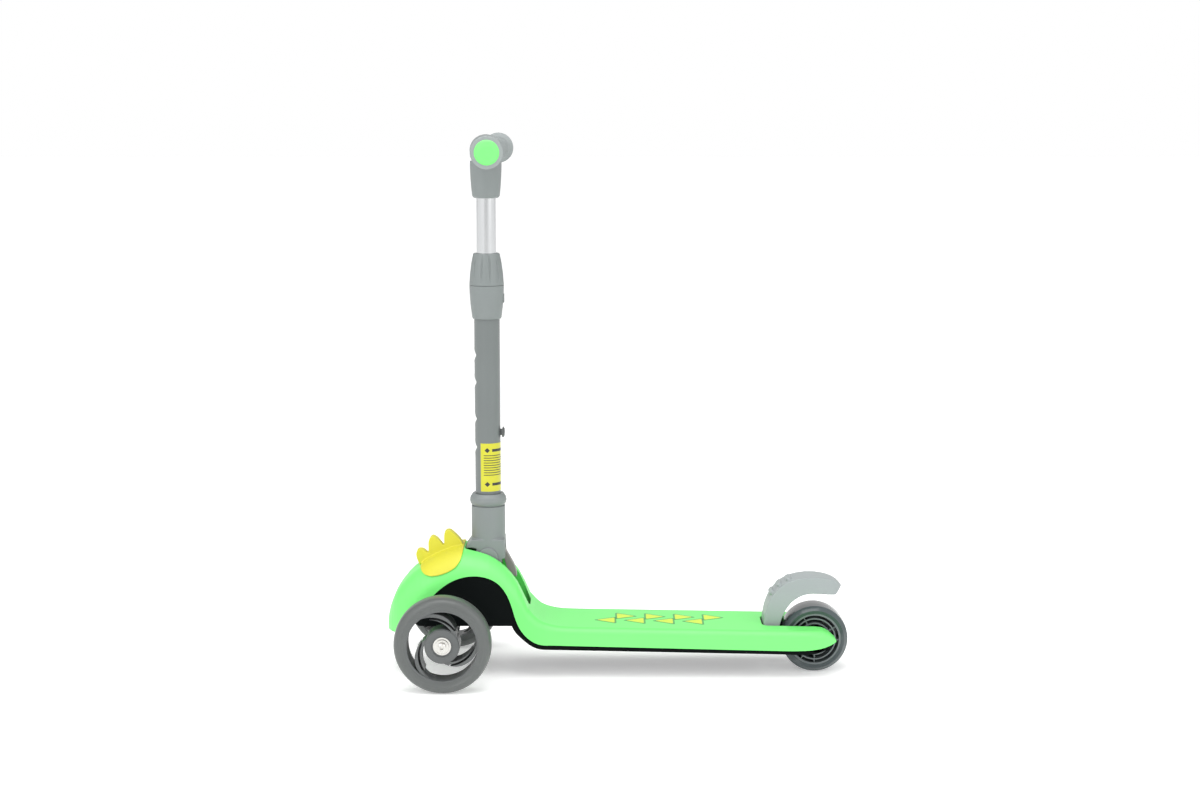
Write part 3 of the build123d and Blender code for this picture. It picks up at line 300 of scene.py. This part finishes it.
# ---- print on the tread ----------------------------------------------------------------
# Two rows of plain triangles, yellow with a dark green edge, screen-printed on the tread.
print_yellow = finish_material("print_yellow", (0.62, 0.78, 0.06), 0.5, 2600, 0.00002, shade=0.05)
print_green = finish_material("print_green", (0.07, 0.36, 0.10), 0.5, 2600, 0.00002, shade=0.05)
TREAD_HEIGHT = 0.0654
TREAD_FRONT = 0.050
TREAD_SLOPE = 0.004 / 0.240


def tread_triangle(name, x, y, radius, turn, lift, mat):
    """One printed triangle lying on the sloping tread."""
    bpy.ops.object.select_all(action="DESELECT")
    height = TREAD_HEIGHT + (x - TREAD_FRONT) * TREAD_SLOPE + lift
    bpy.ops.mesh.primitive_circle_add(vertices=3, radius=radius, fill_type="NGON", location=(x, y, height),
                                      rotation=(0, 0, turn))
    mark = bpy.context.object
    mark.name = name
    bpy.ops.object.transform_apply(location=True, rotation=True, scale=True)
    bpy.ops.object.mode_set(mode="EDIT")
    bpy.ops.mesh.select_all(action="SELECT")
    bpy.ops.mesh.bevel(offset=radius * 0.18, segments=3, affect="VERTICES")
    bpy.ops.mesh.select_all(action="SELECT")
    bpy.ops.mesh.extrude_region_move(TRANSFORM_OT_translate={"value": (0, 0, 0.00008)})
    bpy.ops.mesh.select_all(action="SELECT")
    bpy.ops.mesh.normals_make_consistent(inside=False)
    bpy.ops.object.mode_set(mode="OBJECT")
    for vertex in mark.data.vertices:
        vertex.co.z += (vertex.co.x - x) * TREAD_SLOPE
    mark.data.materials.append(mat)
    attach(mark, "deck")
    return mark


PRINT_FRONT = 0.012
PRINT_PITCH = 0.0185
for k in range(8):
    x = PRINT_FRONT - k * PRINT_PITCH
    row_y = -0.012 if k % 2 else 0.010
    turn = math.radians(90 if k % 2 else 270)
    tread_triangle(f"tread_edge_{k + 1}", x, row_y, 0.0195, turn, 0.00004, print_green)
    tread_triangle(f"tread_mark_{k + 1}", x, row_y, 0.0152, turn, 0.00014, print_yellow)

# ---- studio: floor, backdrop, lights and camera -------------------------------------------
# A white floor that runs into a white room, three soft lights and a long lens from the rider's left.
bpy.ops.object.select_all(action="DESELECT")
bpy.ops.mesh.primitive_plane_add(size=40, location=(0, -6, 0))
floor = bpy.context.object
floor.name = "studio_floor"
bpy.ops.object.transform_apply(location=True)
floor_white = bpy.data.materials.new("floor_white")
floor_white.use_nodes = True
floor_shader = floor_white.node_tree.nodes["Principled BSDF"]
floor_shader.inputs["Base Color"].default_value = (0.92, 0.925, 0.92, 1)
floor_shader.inputs["Roughness"].default_value = 0.75
floor_shader.inputs["Emission Color"].default_value = (1, 1, 1, 1)
floor_shader.inputs["Emission Strength"].default_value = 0.32
floor.data.materials.append(floor_white)

world = bpy.data.worlds.new("studio_sky")
world.use_nodes = True
sky = world.node_tree
sky.nodes["Background"].inputs["Strength"].default_value = 1.0
# The room has darker corners and a doorway, which the bright tube mirrors as upright bands. They light
# the part but aren't seen behind it.
direction = sky.nodes.new("ShaderNodeTexCoord")
parts = sky.nodes.new("ShaderNodeSeparateXYZ")
sky.links.new(direction.outputs["Generated"], parts.inputs["Vector"])
depth = sky.nodes.new("ShaderNodeMapRange")
depth.inputs["From Min"].default_value = -1
depth.inputs["From Max"].default_value = 1
sky.links.new(parts.outputs["Y"], depth.inputs["Value"])
walls = sky.nodes.new("ShaderNodeValToRGB")
walls.color_ramp.elements[0].position = 0.04
walls.color_ramp.elements[0].color = (1, 1, 1, 1)
walls.color_ramp.elements[1].position = 1.0
walls.color_ramp.elements[1].color = (0.45, 0.45, 0.45, 1)
for place, light in ((0.10, 0.28), (0.27, 0.28), (0.36, 1.0), (0.95, 1.0), (0.985, 0.45)):
    stop = walls.color_ramp.elements.new(place)
    stop.color = (light, light, light, 1)
sky.links.new(depth.outputs["Result"], walls.inputs["Fac"])
seen = sky.nodes.new("ShaderNodeLightPath")
backdrop = sky.nodes.new("ShaderNodeMix")
backdrop.data_type = "RGBA"
backdrop.inputs[7].default_value = (1, 1, 1, 1)
sky.links.new(seen.outputs["Is Camera Ray"], backdrop.inputs[0])
sky.links.new(walls.outputs["Color"], backdrop.inputs[6])
sky.links.new(backdrop.outputs[2], sky.nodes["Background"].inputs["Color"])
bpy.context.scene.world = world


def softbox(name, place, aim, size, power):
    """A square soft light aimed at a point."""
    lamp = bpy.data.lights.new(name, "AREA")
    lamp.size = size
    lamp.energy = power
    holder = bpy.data.objects.new(name, lamp)
    bpy.context.collection.objects.link(holder)
    holder.location = place
    holder.rotation_euler = (Vector(aim) - Vector(place)).to_track_quat("-Z", "Y").to_euler()


softbox("overhead", (0.2, 0.6, 2.4), (0, 0, 0.2), 1.8, 30)
softbox("front_fill", (1.6, 2.0, 1.5), (0.1, 0, 0.3), 1.4, 14)
softbox("rear_fill", (-1.8, 1.6, 1.3), (0, 0, 0.3), 1.4, 10)

camera = bpy.data.cameras.new("camera")
camera.sensor_width = 36
camera.lens = 62.34
eye = bpy.data.objects.new("camera", camera)
bpy.context.collection.objects.link(eye)
eye.location = (0.02285, 2.582, 0.712)
eye.rotation_euler = (math.radians(90 - 8.08), 0, math.radians(180))
bpy.context.scene.camera = eye
bpy.context.scene.view_settings.view_transform = "Standard"
